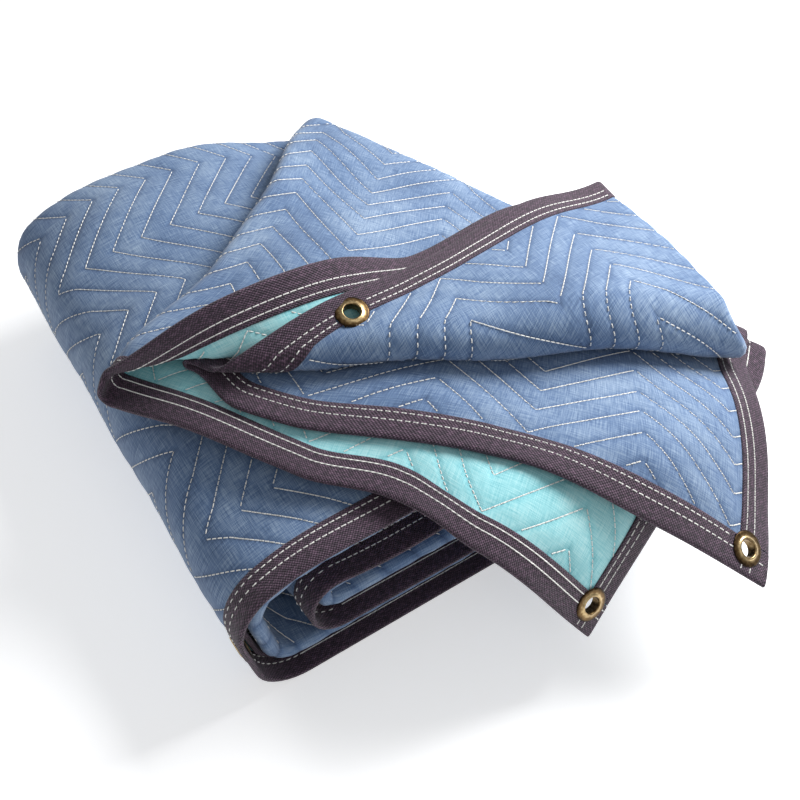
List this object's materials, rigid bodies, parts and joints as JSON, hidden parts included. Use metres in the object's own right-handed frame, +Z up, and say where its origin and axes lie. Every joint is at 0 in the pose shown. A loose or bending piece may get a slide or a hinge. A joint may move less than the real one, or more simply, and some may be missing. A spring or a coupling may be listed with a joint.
{
  "type": "folded sound dampening blanket",
  "caption": "Quilted two-tone sound dampening blanket with bound edges and brass eyelets, folded lengthwise and rolled with its near end laid on top and corners turned out.",
  "frame": {"origin": "middle of the overall box at the height of the flat underside", "axes": "+Z up, +Y away from the viewer of the picture, +X to that viewer's right"},
  "size_m": [0.681, 0.6438, 0.2284],
  "materials": {
    "blue_cloth": "matte woven",
    "aqua_cloth": "matte woven",
    "binding_tape": "matte woven",
    "eyelet_brass": "aged, polished at the rim"
  },
  "bodies": {
    "root": {"blue_face": "blue_cloth", "aqua_back": "aqua_cloth", "binding_near_end": "binding_tape", "binding_far_end": "binding_tape", "binding_first_side": "binding_tape", "binding_last_side": "binding_tape", "eyelet_first_corner": "eyelet_brass", "eyelet_last_corner": "eyelet_brass", "eyelet_inner_lip": "eyelet_brass", "eyelet_roll_side": "eyelet_brass"}
  },
  "joints": []
}
